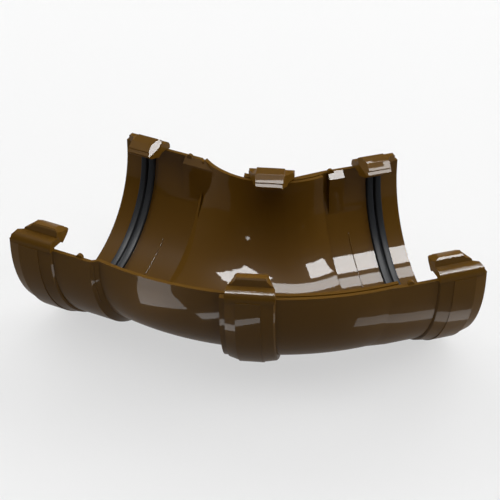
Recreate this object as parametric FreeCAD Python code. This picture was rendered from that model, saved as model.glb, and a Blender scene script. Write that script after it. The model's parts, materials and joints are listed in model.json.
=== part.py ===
"""Adjustable gutter corner: two half-round trough halves that telescope about one upright axis.

The model is made about that axis: x to the right, y to the back, and z = 0 at the trough's lips. At the
end everything moves to the middle of its own box, standing on z = 0.
"""
import FreeCAD, Part
import math
import os

from FreeCAD import Placement, Rotation, Vector

# Trough section, in millimetres
WALL = 2.4
LIP = 5.5                      # upright stretch of wall above the half round
SOCKET_R = 66.0                # outside of the sockets
OUTER_R = 64.4                 # outside of the outer half's trough
INNER_R = 61.0                 # outside of the inner half's trough, 1 clear of the outer half
SOCKET_BORE = SOCKET_R - WALL
OUTER_BORE = OUTER_R - WALL
INNER_BORE = INNER_R - WALL

# Plan: the bend about the upright axis, angles in degrees from the front, positive to the right
BEND_R = 110.4
INNER_RING_AT = -43.2          # where the inner half's bend meets its socket
INNER_ARM_TURN = -27.5         # direction that the inner half's socket faces
INNER_ARM_LENGTH = 56.5
OUTER_RING_AT = 25.7
OUTER_ARM_TURN = 18.0
OUTER_ARM_LENGTH = 48.4
END_GAP = 2.5                  # from the inner half's end to the outer half's ring
INNER_STEP_AT = 2.5            # where the inner half's socket begins to narrow
JOGGLE = 8.0                   # length of the step from a socket to its trough
JOGGLE_DIP = 1.4               # the step's narrow end is sunk this far into the trough's wall
OUTER_TAPER = 24.0             # outside, the outer half's step is a long taper
OUTER_TAPER_DIP = 0.5

# Unions
UNION_LENGTH = 29.0
PANEL_R = 68.8
PANEL_STEP = 0.4               # the panel stands this much above the slopes beside it
UNION_MOUTH_R = 66.5
UNION_ROOT_R = 67.2
ROOT_BEVEL = 0.9
MOUTH_SLOPE = 7.2
ROOT_SLOPE = 8.4
PANEL_TOP = 0.5

# Middle union, at the open end of the outer half
MIDDLE_AT = -5.85
MIDDLE_LENGTH = 28.0
MIDDLE_MOUTH_SLOPE = 6.0
MIDDLE_ROOT_SLOPE = 8.0
MIDDLE_WIDEN = 1.4             # extra width at the back, where the bend is tight
COLLAR_LENGTH = 3.0
COLLAR_R = 66.0

# Seals and their grooves
GROOVE_R = 66.2
GROOVE_WIDTH = 10.0
GROOVE_FROM_END = 11.0
SEAL_SIDE_GAP = 0.2
SEAL_BACK = 2.4                # thickness behind the lobes
LOBE_WIDTH = 4.1
SOCKET_LOBE_R = 62.0
MIDDLE_LOBE_R = 61.6
SEAL_TOP = -0.6

# Snap clips: (depth inwards from the union's wall, height above the lips) along the section
CLIP_SHEET = 2.4
CLIP_END_WALL = 2.0
CLIP_ROOT = -0.4
CLIP_FOOT = 0.8                # the ends clear the gutter's edge by this much
ROLL_R = 5.0
ROLL_START = 0.5
ROOF = ROLL_START + ROLL_R
CREST_HEIGHT = 10.0
TONGUE = [
    (7.8, ROOF),
    (8.8, 9.2),
    (9.8, CREST_HEIGHT),
    (15.5, 8.4),
    (20.4, 5.6),
    (20.6, 4.9),
    (22.4, 3.8),
    (22.4, 2.6),
    (20.5, 1.2),
    (13.0, -0.6),
    (11.5, CLIP_FOOT),
    (4.0, CLIP_FOOT),
    (4.0, CLIP_ROOT),
    (0.0, CLIP_ROOT),
]
TONGUE_HOLLOW = [
    (9.2, ROOF - CLIP_SHEET),
    (10.7, 7.2),
    (15.0, 6.0),
    (18.6, 3.9),
    (18.6, -4.0),
    (CLIP_SHEET, -4.0),
]
ROOF_BACK_OFF = 2.0            # a socket's wall runs on past the clip's roof

# Ends of the clips: (distance in from the end, depth inwards) and (distance in from the end, height)
ROOT_PLAN = [(0.0, -1.0), (0.0, 14.0), (2.0, 23.0)]
MOUTH_PLAN = [(0.0, -1.0), (0.0, 5.0), (5.0, 8.0), (8.5, 15.0), (9.5, 23.0)]
MIDDLE_PLAN = [(0.0, -1.0), (0.0, 5.5), (5.0, 15.5), (6.0, 23.0)]
ROOT_SIDE = [(0.0, -5.0), (0.0, 8.0), (1.8, 11.0)]
MOUTH_SIDE = [(0.0, -5.0), (0.0, 4.0), (1.5, 5.6), (3.5, 6.0), (9.0, 8.0), (11.0, 11.0)]
MIDDLE_SIDE = [(0.0, -5.0), (0.0, 4.0), (0.7, 5.6), (3.4, 6.8), (5.2, 8.6), (6.2, 11.0)]
HIP_POINT = Vector(4.0, 15.5, 8.4)         # on the facet that slopes off a clip's root end
HIP_FACING = Vector(0.55, 0.38, 0.74)      # towards the end, inwards and up

# Stops for the gutter's end: flat-faced blocks, and a nub on the lip, in distances from the ring
STOP_IN = 4.0
STOP_DEPTH = 36.0
STOP_TOP = 3.5                 # the block's top slopes down this far from the lip
NUB_TOP = 1.8
NUB_IN = 1.0
STOP_TAIL = 8.0                # at the back, the inner half's block runs on this far along the bend
INNER_STOP = {"block": (0.5, 13.4), "nub": (9.2, 11.4)}
OUTER_STOP = {"block": (2.0, 11.8), "nub": (2.6, 4.6)}

SPARE_TURN = 35.0              # the bends are made this much too long, then trimmed
SPARE = 1.0                    # cutting pieces overlap by this much
FAR = 400.0
UP = Vector(0, 0, 1)
ORIGIN = Vector(0, 0, 0)


def bend_point(angle, radius=BEND_R):
    """Point on the bend at an angle from the front."""
    turn = math.radians(angle)
    return Vector(radius * math.sin(turn), -radius * math.cos(turn), 0)


def bend_frame(angle):
    """Frame on the bend: x along it towards the left, y outwards to the front."""
    return Placement(bend_point(angle), Rotation(UP, 180 + angle))


def inner_arm_frame():
    """Frame at the inner half's ring: x out along its socket, y to the front."""
    return Placement(bend_point(INNER_RING_AT), Rotation(UP, 180 + INNER_ARM_TURN))


def outer_arm_frame():
    """Frame at the outer half's ring: x out along its socket, y to the back."""
    return Placement(bend_point(OUTER_RING_AT), Rotation(UP, OUTER_ARM_TURN))


def placed(shape, frame):
    """Copy of a shape moved from its own frame into the model's."""
    copy = shape.copy()
    copy.Placement = frame.multiply(copy.Placement)
    return copy


def half_round(radius, top=0.0):
    """Closed half-round outline across x, flat on top."""
    diagonal = radius * math.sqrt(0.5)
    bowl = [
        Vector(0, -radius, -LIP),
        Vector(0, -diagonal, -LIP - diagonal),
        Vector(0, 0, -LIP - radius),
        Vector(0, diagonal, -LIP - diagonal),
        Vector(0, radius, -LIP),
    ]
    lips = [bowl[4], Vector(0, radius, top), Vector(0, -radius, top), bowl[0]]
    arcs = [Part.Arc(*bowl[:3]).toShape(), Part.Arc(*bowl[2:]).toShape()]
    return Part.Wire(arcs + [Part.makeLine(a, b) for a, b in zip(lips, lips[1:])])


def bar(profile, top=0.0, widen=0.0):
    """Half-round bar along x from (x, radius) points, with upright lips, wider on its -y side by widen."""
    axis = Vector(0, 0, -LIP)
    first, last = profile[0][0], profile[-1][0]
    side = [Vector(x, radius, -LIP) for x, radius in profile]
    side += [Vector(last, 0, -LIP), Vector(first, 0, -LIP)]
    half = Part.Face(Part.makePolygon(side + side[:1]))
    right = half.revolve(axis, Vector(-1, 0, 0), 90)
    left = right.mirror(ORIGIN, Vector(0, 1, 0))
    left.translate(Vector(0, -widen, 0))
    rim = [Vector(x, radius, -LIP) for x, radius in profile]
    rim += [Vector(x, -radius - widen, -LIP) for x, radius in reversed(profile)]
    lips = Part.Face(Part.makePolygon(rim + rim[:1])).extrude(Vector(0, 0, LIP + top))
    pieces = [left, lips]
    if widen:
        keel = [Vector(x, 0, -LIP - radius) for x, radius in profile]
        keel += [Vector(last, 0, -LIP), Vector(first, 0, -LIP)]
        pieces.append(Part.Face(Part.makePolygon(keel + keel[:1])).extrude(Vector(0, -widen, 0)))
    return right.fuse(pieces).removeSplitter()


def straight(radius, start, end, top=0.0, widen=0.0):
    """Half-round bar of one radius along x."""
    return bar([(start, radius), (end, radius)], top, widen)


def turned(radius, start, end, top=0.0):
    """Half-round bar along the bend, between two angles."""
    outline = placed(half_round(radius, top), bend_frame(start))
    return Part.Face(outline).revolve(ORIGIN, UP, end - start)


def beyond(frame, x):
    """Everything on the +x side of a plane across a frame."""
    block = Part.makeBox(FAR, 2 * FAR, 2 * FAR, Vector(x, -FAR, -FAR))
    return placed(block, frame)


def union_band(start, end, root_slope=ROOT_SLOPE, mouth_slope=MOUTH_SLOPE, widen=0.0):
    """Bulged band round a socket: a raised flat panel between two slopes. The mouth is at end."""
    panel_start = start + root_slope
    panel_end = end - mouth_slope
    slope_r = PANEL_R - PANEL_STEP
    slopes = [
        (start, UNION_ROOT_R - ROOT_BEVEL),
        (start + ROOT_BEVEL, UNION_ROOT_R),
        (panel_start, slope_r),
        (panel_end, slope_r),
        (end, UNION_MOUTH_R),
    ]
    panel = straight(PANEL_R, panel_start, panel_end, -PANEL_TOP, widen)
    return bar(slopes, ROLL_START, widen).fuse(panel)


def polygon(points):
    """Flat face with straight sides."""
    return Part.Face(Part.makePolygon(points + points[:1]))


def clip_section(wall, depth, points):
    """Face across x: over the roll at a depth inside its skin, then through the points and back."""
    def at(inwards, height):
        return Vector(0, wall - inwards, height)

    roll = ROLL_R - depth
    diagonal = roll * math.sqrt(0.5)
    start = at(depth, ROLL_START)
    over = at(ROLL_R, ROLL_START + roll)
    arc = Part.Arc(start, at(ROLL_R - diagonal, ROLL_START + diagonal), over).toShape()
    corners = [over] + [at(*point) for point in points] + [start]
    return Part.Face(Part.Wire([arc] + [Part.makeLine(a, b) for a, b in zip(corners, corners[1:])]))


def between(start, end, at_start, at_end):
    """Points round an outline, from the shapes of its two ends."""
    left = [(start + inset, other) for inset, other in at_start]
    right = [(end - inset, other) for inset, other in at_end]
    return left + right[::-1]


def clip_block(section, wall, plan, side):
    """Block along x with a section, narrowed to an outline in plan and another from the side."""
    first = min(x for x, height in side)
    last = max(x for x, height in side)
    block = section.extrude(Vector(last - first, 0, 0))
    block.translate(Vector(first, 0, 0))
    above = polygon([Vector(x, wall - inwards, -FAR) for x, inwards in plan])
    beside = polygon([Vector(x, -FAR, height) for x, height in side])
    return block.common(above.extrude(Vector(0, 0, 2 * FAR))).common(beside.extrude(Vector(0, 2 * FAR, 0)))


def hip(wall, start):
    """All that lies outside the sloping facet at a clip's root end."""
    point = Vector(start + HIP_POINT.x, wall - HIP_POINT.y, HIP_POINT.z)
    facing = Vector(-HIP_FACING.x, -HIP_FACING.y, HIP_FACING.z)
    block = Part.makeBox(2 * FAR, 2 * FAR, FAR, Vector(-FAR, -FAR, 0))
    return placed(block, Placement(point, Rotation(UP, facing)))


def clip(wall, start, end, plans, sides):
    """Snap clip on the +y side between two ends, hollow from below."""
    inside = (start + CLIP_END_WALL, end - CLIP_END_WALL)
    outer = clip_section(wall, 0.0, TONGUE)
    body = clip_block(outer, wall, between(start, end, *plans), between(start, end, *sides))
    inner = clip_section(wall, CLIP_SHEET, TONGUE_HOLLOW)
    return body.cut(clip_block(inner, wall, between(*inside, *plans), between(*inside, *sides)))


def mirrored(shape):
    """The same shape on the other side of the trough."""
    return shape.mirror(ORIGIN, Vector(0, 1, 0))


def socket_clips(start, end):
    """Front and back clips of a socket's union."""
    wall = PANEL_R - PANEL_STEP
    one = clip(wall, start, end - ROOF_BACK_OFF, (ROOT_PLAN, MOUTH_PLAN), (ROOT_SIDE, MOUTH_SIDE))
    one = one.cut(hip(wall, start))
    return [one, mirrored(one)]


def stop_block(start, end):
    """Block with a flat upright face and a sloping top, as deep as the trough."""
    outer = SOCKET_R - 0.5 * WALL
    inner = SOCKET_BORE - STOP_IN
    corners = [
        Vector(start, outer, 0),
        Vector(start, SOCKET_BORE, 0),
        Vector(start, inner, -STOP_TOP),
        Vector(start, inner, -STOP_DEPTH),
        Vector(start, outer, -STOP_DEPTH),
    ]
    return polygon(corners).extrude(Vector(end - start, 0, 0))


def stops(block, nub):
    """Flat-faced blocks on both walls that stop the gutter's end, each with a round nub on the lip."""
    outer = SOCKET_R - 0.5 * WALL
    face = SOCKET_BORE - NUB_IN
    one = stop_block(*block).common(straight(outer, *block))
    nub_start, nub_end = (Vector(x, face, -NUB_TOP) for x in nub)
    nub_top = Vector(0.5 * (nub[0] + nub[1]), face, NUB_TOP)
    edge = [Part.Arc(nub_start, nub_top, nub_end).toShape(), Part.makeLine(nub_end, nub_start)]
    one = one.fuse(Part.Face(Part.Wire(edge)).extrude(Vector(0, outer - face, 0)))
    return [one, mirrored(one)]


def seal_groove(middle):
    """Groove for a seal, round the socket at a distance along x."""
    half = 0.5 * GROOVE_WIDTH
    return straight(GROOVE_R, middle - half, middle + half, SPARE)


def seal(middle, lobe_r):
    """Rubber seal with two lobes and a groove between them."""
    half = 0.5 * GROOVE_WIDTH - SEAL_SIDE_GAP
    back_r = GROOVE_R - SEAL_BACK
    body = straight(GROOVE_R, middle - half, middle + half, SEAL_TOP)
    body = body.cut(straight(back_r, middle - half, middle + half, SPARE))
    for start in (middle - half, middle + half - LOBE_WIDTH):
        lobe = straight(back_r, start, start + LOBE_WIDTH, SEAL_TOP)
        lobe = lobe.cut(straight(lobe_r, start, start + LOBE_WIDTH, SPARE))
        body = body.fuse(lobe)
    return body.removeSplitter()


def seal_middle(arm_length):
    """Where a socket's seal sits along its arm."""
    return arm_length - GROOVE_FROM_END - 0.5 * GROOVE_WIDTH


def make_socket(arm_length, trough_r, step_at, taper, dip):
    """Outside of a socket with its step to the trough, its clear bore, and its clips."""
    start = arm_length - UNION_LENGTH
    sunk = trough_r - JOGGLE_DIP - WALL
    outside = bar([(step_at - taper, trough_r - dip), (step_at, SOCKET_R), (arm_length, SOCKET_R)])
    outside = outside.fuse(union_band(start, arm_length))
    reach = arm_length + SPARE
    bore = bar([(step_at - JOGGLE, sunk), (step_at, SOCKET_BORE), (reach, SOCKET_BORE)], CREST_HEIGHT)
    bore = bore.fuse(seal_groove(seal_middle(arm_length)))
    return outside, bore, socket_clips(start, arm_length)


def make_inner_half():
    """Half with the smaller trough, which slides inside the other half."""
    arm = inner_arm_frame()
    outside, bore, clips = make_socket(INNER_ARM_LENGTH, INNER_R, INNER_STEP_AT, JOGGLE, JOGGLE_DIP)
    reach = INNER_RING_AT - SPARE_TURN
    past = OUTER_RING_AT + SPARE_TURN
    trough = turned(INNER_R, reach, past).cut([beyond(arm, 0), beyond(outer_arm_frame(), -END_GAP)])
    hollow = turned(INNER_BORE, reach, past, CREST_HEIGHT).cut(beyond(arm, 0))
    body = trough.fuse(placed(outside, arm)).cut([hollow, placed(bore, arm)])
    tail = placed(mirrored(stop_block(-STOP_TAIL, SPARE)), arm)
    tail = tail.common(turned(INNER_R - 0.5 * WALL, reach, past))
    body = body.fuse([placed(piece, arm) for piece in clips + stops(**INNER_STOP)] + [tail])
    return body.removeSplitter()


def middle_clips():
    """Front and back clips of the middle union."""
    wall = PANEL_R - PANEL_STEP
    half = 0.5 * MIDDLE_LENGTH
    ends = ((MIDDLE_PLAN, MIDDLE_PLAN), (MIDDLE_SIDE, MIDDLE_SIDE))
    return [clip(wall, -half, half, *ends), mirrored(clip(wall + MIDDLE_WIDEN, -half, half, *ends))]


def make_outer_half():
    """Half with the larger trough and the middle union."""
    arm = outer_arm_frame()
    middle = bend_frame(MIDDLE_AT)
    outside, bore, clips = make_socket(OUTER_ARM_LENGTH, OUTER_R, 0.0, OUTER_TAPER, OUTER_TAPER_DIP)
    half = 0.5 * MIDDLE_LENGTH
    open_end = half + COLLAR_LENGTH
    reach = MIDDLE_AT - SPARE_TURN
    past = OUTER_RING_AT + SPARE_TURN
    trough = turned(OUTER_R, reach, past).cut([beyond(arm, 0), beyond(middle, open_end)])
    hollow = turned(OUTER_BORE, reach, past, CREST_HEIGHT).cut(beyond(arm, 0))
    collar = turned(COLLAR_R, reach, MIDDLE_AT).cut(beyond(middle, open_end))
    collar = collar.common(beyond(middle, half - SPARE))
    union = union_band(-half, half, MIDDLE_ROOT_SLOPE, MIDDLE_MOUTH_SLOPE, MIDDLE_WIDEN)
    body = trough.fuse([placed(outside, arm), placed(union, middle), collar])
    body = body.cut([hollow, placed(bore, arm), placed(seal_groove(0.0), middle)])
    body = body.fuse([placed(piece, arm) for piece in clips + stops(**OUTER_STOP)])
    body = body.fuse([placed(piece, middle) for piece in middle_clips()])
    return body.removeSplitter()


def make_pieces():
    """Every piece by its name, about the upright axis."""
    inner_seal = seal(seal_middle(INNER_ARM_LENGTH), SOCKET_LOBE_R)
    outer_seal = seal(seal_middle(OUTER_ARM_LENGTH), SOCKET_LOBE_R)
    return {
        "inner_half": make_inner_half(),
        "outer_half": make_outer_half(),
        "inner_socket_seal": placed(inner_seal, inner_arm_frame()),
        "outer_socket_seal": placed(outer_seal, outer_arm_frame()),
        "middle_seal": placed(seal(0.0, MIDDLE_LOBE_R), bend_frame(MIDDLE_AT)),
    }


def main():
    pieces = make_pieces()
    box = Part.makeCompound(list(pieces.values())).optimalBoundingBox(False)
    home = Vector(-box.Center.x, -box.Center.y, -box.ZMin)
    os.makedirs("parts", exist_ok=True)
    for name, shape in pieces.items():
        shape.translate(home)
        shape.exportStep("parts/%s.step" % name)
        print(name, shape.ShapeType, shape.isValid(), len(shape.Solids), round(shape.Volume / 1000, 2), "cm3")
    print("axis at", [round(value, 3) for value in home], "size", box.XLength, box.YLength, box.ZLength)


main()
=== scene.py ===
"""Adjustable gutter corner: finishes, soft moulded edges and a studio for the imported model, in metres."""
import json
import math

import bmesh
import bpy
from mathutils import Matrix, Vector


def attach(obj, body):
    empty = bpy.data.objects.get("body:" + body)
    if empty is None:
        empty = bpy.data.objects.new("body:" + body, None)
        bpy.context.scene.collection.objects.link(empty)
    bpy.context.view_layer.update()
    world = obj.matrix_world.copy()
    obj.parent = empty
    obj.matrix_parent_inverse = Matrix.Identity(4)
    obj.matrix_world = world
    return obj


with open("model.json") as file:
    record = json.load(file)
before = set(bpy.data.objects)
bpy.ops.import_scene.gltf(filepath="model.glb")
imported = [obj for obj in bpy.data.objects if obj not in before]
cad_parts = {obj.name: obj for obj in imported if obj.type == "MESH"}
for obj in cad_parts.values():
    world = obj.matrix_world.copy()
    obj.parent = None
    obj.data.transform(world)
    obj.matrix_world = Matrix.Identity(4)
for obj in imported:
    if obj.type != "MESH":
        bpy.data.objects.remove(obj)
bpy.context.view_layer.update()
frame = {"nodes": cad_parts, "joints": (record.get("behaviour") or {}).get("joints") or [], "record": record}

# Camera, from the corner's upright axis at lip height
PIVOT = Vector(frame["joints"][0]["pos_m"])
CAMERA_FROM_PIVOT = Vector((-0.01778, -0.8677, 0.4903))
CAMERA_PITCH = math.radians(33.446)
CAMERA_NEAR = 0.05
SENSOR = 36.0
FOCAL_PIXELS = 1561.0
IMAGE_WIDTH = 500

# Finishes, in linear colour: the two colours that each clouds between, the range of its roughness, the
# gloss of its body, the weight of the glossy skin over it, and the scale and strength of its grain
FINISHES = {
    "brown_plastic": {
        "colours": ((0.108, 0.051, 0.006), (0.098, 0.046, 0.005)),
        "roughness": (0.34, 0.42),
        "specular": 0.010,
        "skin": 0.12,
        "grain_scale": 900.0,
        "grain_strength": 0.02,
    },
    "seal_rubber": {
        "colours": ((0.016, 0.018, 0.021), (0.026, 0.028, 0.031)),
        "roughness": (0.38, 0.52),
        "specular": 0.05,
        "skin": 0.0,
        "grain_scale": 1500.0,
        "grain_strength": 0.2,
    },
}
SKIN_IOR = 1.5
SKIN_ROUGHNESS = 0.03
CLOUD_SCALE = 18.0
CLOUD_DETAIL = 3.0
CLOUD_LOW = 0.3                # values of the clouds' noise that give the ends of the roughness range
CLOUD_HIGH = 0.7
GRAIN_DETAIL = 2.0
GRAIN_HEIGHT = 0.0001

# Moulded edges: edges sharper than an angle are rounded, once corners that lie together are welded
EDGE_ROUND = 0.0007
EDGE_SEGMENTS = 2
EDGE_ANGLE = math.radians(32)
WELD = 0.00001

# Insertion line on the back of each socket's bore: the body that it rides on, how far in from the mouth it
# is, and the angles from the bottom of the bore that it runs between
LINE_WIDTH = 0.0007
LINE_HEIGHT = 0.0003
LINE_SUNK = 0.0003
LINE_STEPS = 24
LINE_SIDES = 6
LINE_SLOT = "brown_plastic"
INSERTION_LINES = {
    "inner_socket": ("inner_body", 0.0365, (18, 43)),
    "outer_socket": ("outer_body", 0.0351, (23, 57)),
}

# Floor
FLOOR_REACH = 6.0
FLOOR_COLOUR = (0.25, 0.25, 0.25)    # takes the shadow, and throws this much back up at the part
FLOOR_ROUGHNESS = 0.9
BACKDROP = 0.58                      # the floor's own brightness behind the part
WHITE = (1.0, 1.0, 1.0, 1.0)

# Lamps: direction from the part, and width and length at unit distance. The soft boxes are seen in the
# gloss, with the brightness of their faces. The fill lamps light the colours, with their level at the part.
LAMP_DISTANCE = 3.0
LAMP_ALONG = Vector((-0.31, 0.95, 0.0))   # the way that the lamps' lengths run, seen from above
SOFT_BOXES = {
    "softbox_right": ((0.514, -0.297, 1.0), (0.23, 0.31), 110.0),
    "softbox_left": ((-0.285, -0.139, 1.0), (0.36, 0.42), 110.0),
    "overhead": ((0.188, 0.004, 1.0), (0.62, 0.20), 60.0),
    "window": ((-0.514, -0.713, 0.477), (0.09, 0.09), 60.0),
    "strip_back": ((0.05, 0.28, 1.0), (0.70, 0.07), 60.0),
}
FILL_LAMPS = {
    "fill_right": ((0.442, -0.255, 0.860), (0.6, 0.6), 0.21),
    "fill_left": ((-0.334, -0.216, 0.917), (0.6, 0.6), 0.12),
    "fill_top": ((0.10, 0.22, 0.95), (0.8, 0.8), 0.15),
    "fill_back_left": ((-0.405, 0.760, 0.510), (0.7, 0.7), 0.58),
    "fill_back_right": ((0.405, 0.760, 0.510), (0.7, 0.7), 0.58),
    "fill_side_left": ((-0.89, 0.16, 0.42), (0.5, 0.5), 0.42),
    "fill_side_right": ((0.89, 0.16, 0.42), (0.5, 0.5), 0.55),
    "fill_front": ((0.66, -0.74, 0.10), (0.2, 0.8), 0.14),
}
WORLD_STRENGTH = 0.10

# Light cards lying on the floor in front, seen only in the gloss: place from the corner's axis, size, turn
# in degrees, and brightness
CARD_HEIGHT = 0.001
CARDS = {
    "card_left": ((-0.152, -0.216), (0.132, 0.046), 38.5, 11.0),
    "card_middle": ((-0.046, -0.215), (0.014, 0.075), 38.5, 12.0),
    "card_right": ((0.097, -0.171), (0.080, 0.020), 31.0, 6.0),
}


def new_object(name, data):
    """New object in the scene."""
    obj = bpy.data.objects.new(name, data)
    bpy.context.scene.collection.objects.link(obj)
    return obj


# Materials

def node_at(tree, kind, place, **inputs):
    """New shader node with its unlinked inputs set by name."""
    node = tree.nodes.new(kind)
    node.location = place
    for name, value in inputs.items():
        node.inputs[name.replace("_", " ")].default_value = value
    return node


def new_material(name):
    """New material, with its node tree and its shader."""
    material = bpy.data.materials.new(name)
    material.use_nodes = True
    tree = material.node_tree
    return material, tree, tree.nodes["Principled BSDF"]


def noise(tree, coordinates, place, scale, detail):
    """Noise over the object's own coordinates."""
    node = node_at(tree, "ShaderNodeTexNoise", place, Scale=scale, Detail=detail)
    tree.links.new(coordinates.outputs["Object"], node.inputs["Vector"])
    return node


def clouded_colour(tree, cloud, colours):
    """Colour that drifts between two with the clouds."""
    mix = node_at(tree, "ShaderNodeMix", (-400, 200))
    mix.data_type = "RGBA"
    for socket, colour in zip("AB", colours):
        mix.inputs[socket].default_value = (*colour, 1.0)
    tree.links.new(cloud.outputs["Fac"], mix.inputs["Factor"])
    return mix.outputs["Result"]


def clouded_roughness(tree, cloud, roughness):
    """Roughness that drifts through its range with the clouds."""
    low, high = roughness
    ramp = node_at(
        tree, "ShaderNodeMapRange", (-400, 0),
        From_Min=CLOUD_LOW, From_Max=CLOUD_HIGH, To_Min=low, To_Max=high,
    )
    tree.links.new(cloud.outputs["Fac"], ramp.inputs["Value"])
    return ramp.outputs["Result"]


def fine_grain(tree, coordinates, scale, strength):
    """Very fine unevenness of the surface."""
    grain = noise(tree, coordinates, (-800, -200), scale, GRAIN_DETAIL)
    relief = node_at(tree, "ShaderNodeBump", (-400, -200), Strength=strength, Distance=GRAIN_HEIGHT)
    tree.links.new(grain.outputs["Fac"], relief.inputs["Height"])
    return relief.outputs["Normal"]


def moulded(slot):
    """Moulded plastic or rubber: slightly uneven colour and gloss, a very fine grain, and a glossy skin."""
    finish = FINISHES[slot]
    material, tree, shader = new_material(slot)
    coordinates = node_at(tree, "ShaderNodeTexCoord", (-1000, 0))
    cloud = noise(tree, coordinates, (-800, 200), CLOUD_SCALE, CLOUD_DETAIL)
    grain = fine_grain(tree, coordinates, finish["grain_scale"], finish["grain_strength"])
    tree.links.new(clouded_colour(tree, cloud, finish["colours"]), shader.inputs["Base Color"])
    tree.links.new(clouded_roughness(tree, cloud, finish["roughness"]), shader.inputs["Roughness"])
    tree.links.new(grain, shader.inputs["Normal"])
    shader.inputs["Specular IOR Level"].default_value = finish["specular"]
    shader.inputs["Coat Weight"].default_value = finish["skin"]
    shader.inputs["Coat IOR"].default_value = SKIN_IOR
    shader.inputs["Coat Roughness"].default_value = SKIN_ROUGHNESS
    return material


def floor_material():
    """Dull pale floor that takes the shadow. Its glow is seen by the camera and in gloss and glass alone."""
    material, tree, shader = new_material("floor")
    shader.inputs["Base Color"].default_value = (*FLOOR_COLOUR, 1.0)
    shader.inputs["Roughness"].default_value = FLOOR_ROUGHNESS
    shader.inputs["Specular IOR Level"].default_value = 0.0
    shader.inputs["Emission Color"].default_value = WHITE
    ray = node_at(tree, "ShaderNodeLightPath", (-800, 0))
    seen = ray.outputs["Is Camera Ray"]
    for place, kind in ((-600, "Is Glossy Ray"), (-400, "Is Transmission Ray")):
        either = node_at(tree, "ShaderNodeMath", (place, 0))
        either.operation = "MAXIMUM"
        tree.links.new(seen, either.inputs[0])
        tree.links.new(ray.outputs[kind], either.inputs[1])
        seen = either.outputs["Value"]
    glow = node_at(tree, "ShaderNodeMath", (-200, 0))
    glow.operation = "MULTIPLY"
    glow.inputs[1].default_value = BACKDROP
    tree.links.new(seen, glow.inputs[0])
    tree.links.new(glow.outputs["Value"], shader.inputs["Emission Strength"])
    return material


# The part

def dress(node, material):
    """Give a CAD node its finish and softly rounded moulded edges."""
    obj = frame["nodes"][node]
    obj.data.materials.clear()
    obj.data.materials.append(material)
    obj.data.polygons.foreach_set("use_smooth", [True] * len(obj.data.polygons))
    weld = obj.modifiers.new("weld", "WELD")
    weld.merge_threshold = WELD
    edge = obj.modifiers.new("edge", "BEVEL")
    edge.width = EDGE_ROUND
    edge.segments = EDGE_SEGMENTS
    edge.limit_method = "ANGLE"
    edge.angle_limit = EDGE_ANGLE
    edge.harden_normals = False
    normals = obj.modifiers.new("normals", "WEIGHTED_NORMAL")
    normals.keep_sharp = True
    normals.mode = "FACE_AREA_WITH_ANGLE"


def line_profile():
    """Section of an insertion line, a low round ridge: places along the socket, heights above the bore."""
    ridge = []
    for step in range(LINE_SIDES + 1):
        turn = math.pi * step / LINE_SIDES
        ridge.append((math.cos(turn) * LINE_WIDTH / 2, math.sin(turn) * LINE_HEIGHT))
    return [(LINE_WIDTH / 2, -LINE_SUNK), *ridge, (-LINE_WIDTH / 2, -LINE_SUNK)]


def line_points(mount, depth, angles, profile):
    """Points of an insertion line: its section at each step round the back of the bore."""
    along = Vector(mount["axis"])
    centre = Vector(mount["pos_m"]) - along * depth
    down = Vector((0, 0, -1))
    across = along.cross(down)
    back = across if across.dot(PIVOT - centre) > 0 else -across
    bore = mount["dims"]["r_mm"] / 1000
    points = []
    for step in range(LINE_STEPS + 1):
        angle = math.radians(angles[0] + (angles[1] - angles[0]) * step / LINE_STEPS)
        outward = down * math.cos(angle) + back * math.sin(angle)
        points += [centre + along * x + outward * (bore - height) for x, height in profile]
    return points


def swept_faces(total, count):
    """Faces of a closed section of count points, swept through total points: two ends and the sides."""
    faces = [tuple(range(count)), tuple(range(total - count, total))]
    for first in range(0, total - count, count):
        for side in range(count):
            following = (side + 1) % count
            faces.append((first + side, first + following, first + count + following, first + count + side))
    return faces


def face_outwards(mesh):
    """Turn all faces of a closed mesh outwards."""
    shape = bmesh.new()
    shape.from_mesh(mesh)
    bmesh.ops.recalc_face_normals(shape, faces=shape.faces)
    shape.to_mesh(mesh)
    shape.free()


def add_insertion_line(mount, body, depth, angles, material):
    """Thin raised line round part of a socket's bore, which shows how far the gutter goes in."""
    profile = line_profile()
    points = line_points(mount, depth, angles, profile)
    name = mount["name"] + "_insertion_line"
    mesh = bpy.data.meshes.new(name)
    mesh.from_pydata(points, [], swept_faces(len(points), len(profile)))
    face_outwards(mesh)
    mesh.polygons.foreach_set("use_smooth", [len(face.vertices) == 4 for face in mesh.polygons])
    mesh.materials.append(material)
    line = new_object(name, mesh)
    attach(line, body)


def dress_all():
    """Finish every piece of the part, and add the insertion lines."""
    materials = {slot: moulded(slot) for slot in FINISHES}
    for piece in frame["record"]["subparts"]:
        dress(piece["node"], materials[piece["material_slot"]])
    for mount in frame["record"]["mounts"]:
        add_insertion_line(mount, *INSERTION_LINES[mount["name"]], materials[LINE_SLOT])


# The studio

def add_floor():
    """Wide level floor under the part."""
    mesh = bpy.data.meshes.new("floor")
    corners = [(x * FLOOR_REACH, y * FLOOR_REACH, 0) for x, y in ((-1, -1), (1, -1), (1, 1), (-1, 1))]
    mesh.from_pydata(corners, [], [(0, 1, 2, 3)])
    mesh.materials.append(floor_material())
    new_object("floor", mesh)


def add_world():
    """Weak even light from all round."""
    world = bpy.data.worlds.new("studio")
    bpy.context.scene.world = world
    world.use_nodes = True
    background = world.node_tree.nodes["Background"]
    background.inputs["Color"].default_value = WHITE
    background.inputs["Strength"].default_value = WORLD_STRENGTH


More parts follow.
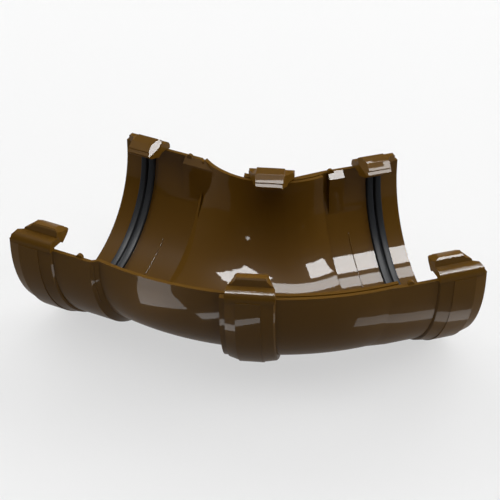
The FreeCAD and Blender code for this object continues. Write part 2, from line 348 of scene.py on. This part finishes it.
def area_lamp(name, size, power):
    """Rectangular lamp, not placed yet."""
    data = bpy.data.lights.new(name, "AREA")
    data.shape = "RECTANGLE"
    data.size, data.size_y = size
    data.energy = power
    return new_object(name, data)


def face_power(size, radiance):
    """Power of a lamp whose face has this size and brightness."""
    return radiance * math.pi * size[0] * size[1]


def aim(lamp, direction):
    """Place a lamp in a direction from the part, and face it to the part."""
    back = Vector(direction).normalized()
    along = (LAMP_ALONG - back * back.dot(LAMP_ALONG)).normalized()
    lamp.matrix_world = Matrix((along.cross(back), along, back)).transposed().to_4x4()
    lamp.location = back * LAMP_DISTANCE


def add_lamps():
    """Soft boxes for the gloss, and fill lamps for the colours."""
    for name, (direction, spread, radiance) in SOFT_BOXES.items():
        size = [LAMP_DISTANCE * side for side in spread]
        lamp = area_lamp(name, size, face_power(size, radiance))
        aim(lamp, direction)
        lamp.visible_diffuse = False
    for name, (direction, spread, level) in FILL_LAMPS.items():
        size = [LAMP_DISTANCE * side for side in spread]
        lamp = area_lamp(name, size, level * (math.pi * LAMP_DISTANCE) ** 2)
        aim(lamp, direction)
        lamp.visible_glossy = False


def add_cards():
    """Light cards that lie on the floor, face up."""
    for name, ((x, y), size, turn, radiance) in CARDS.items():
        card = area_lamp(name, size, face_power(size, radiance))
        card.location = (PIVOT.x + x, PIVOT.y + y, CARD_HEIGHT)
        card.rotation_euler = (math.pi, 0, math.radians(turn))
        card.visible_camera = False
        card.visible_diffuse = False


def add_camera():
    """Camera at the photo's place and angle."""
    data = bpy.data.cameras.new("photo_camera")
    data.sensor_width = SENSOR
    data.lens = SENSOR * FOCAL_PIXELS / IMAGE_WIDTH
    data.clip_start = CAMERA_NEAR
    camera = new_object("photo_camera", data)
    camera.location = PIVOT + CAMERA_FROM_PIVOT
    camera.rotation_euler = (math.pi / 2 - CAMERA_PITCH, 0, 0)
    bpy.context.scene.camera = camera


def main():
    dress_all()
    add_floor()
    add_world()
    add_lamps()
    add_cards()
    add_camera()
    bpy.context.scene.view_settings.view_transform = "Standard"


main()
